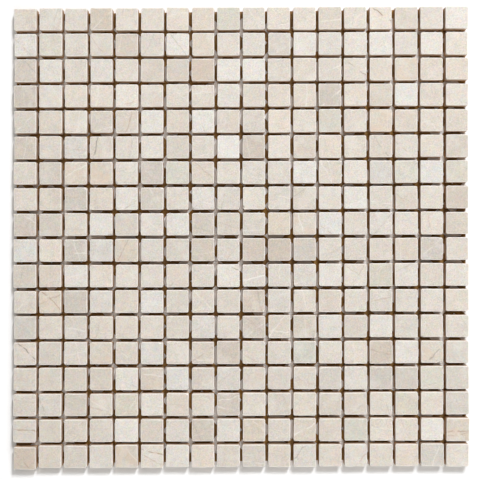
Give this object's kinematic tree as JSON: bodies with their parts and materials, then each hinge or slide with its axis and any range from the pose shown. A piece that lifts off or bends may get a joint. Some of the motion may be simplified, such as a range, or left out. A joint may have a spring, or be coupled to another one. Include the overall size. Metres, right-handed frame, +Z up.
{
  "type": "mosaic tile sheet",
  "caption": "Flat square sheet of small cream marble tiles with open joints, held together by a perforated brown paper glued to their backs; lies face up.",
  "frame": {"origin": "middle of the sheet's outline, on the underside of the paper backing", "axes": "+Z up, from the paper to the tiles' faces; +X along the rows of tiles; +Y across the rows, from the last row to the first"},
  "size_m": [0.3022, 0.3072, 0.0085],
  "materials": {
    "marble": "honed cream marble with soft worn edges",
    "backing_paper": "brown glued paper, matt"
  },
  "bodies": {
    "root": {"tile_row_01": "marble", "tile_row_02": "marble", "tile_row_03": "marble", "tile_row_04": "marble", "tile_row_05": "marble", "tile_row_06": "marble", "tile_row_07": "marble", "tile_row_08": "marble", "tile_row_09": "marble", "tile_row_10": "marble", "tile_row_11": "marble", "tile_row_12": "marble", "tile_row_13": "marble", "tile_row_14": "marble", "tile_row_15": "marble", "tile_row_16": "marble", "tile_row_17": "marble", "tile_row_18": "marble", "paper_back": "backing_paper", "paper_left": "backing_paper", "paper_front": "backing_paper", "paper_right": "backing_paper"}
  },
  "joints": []
}
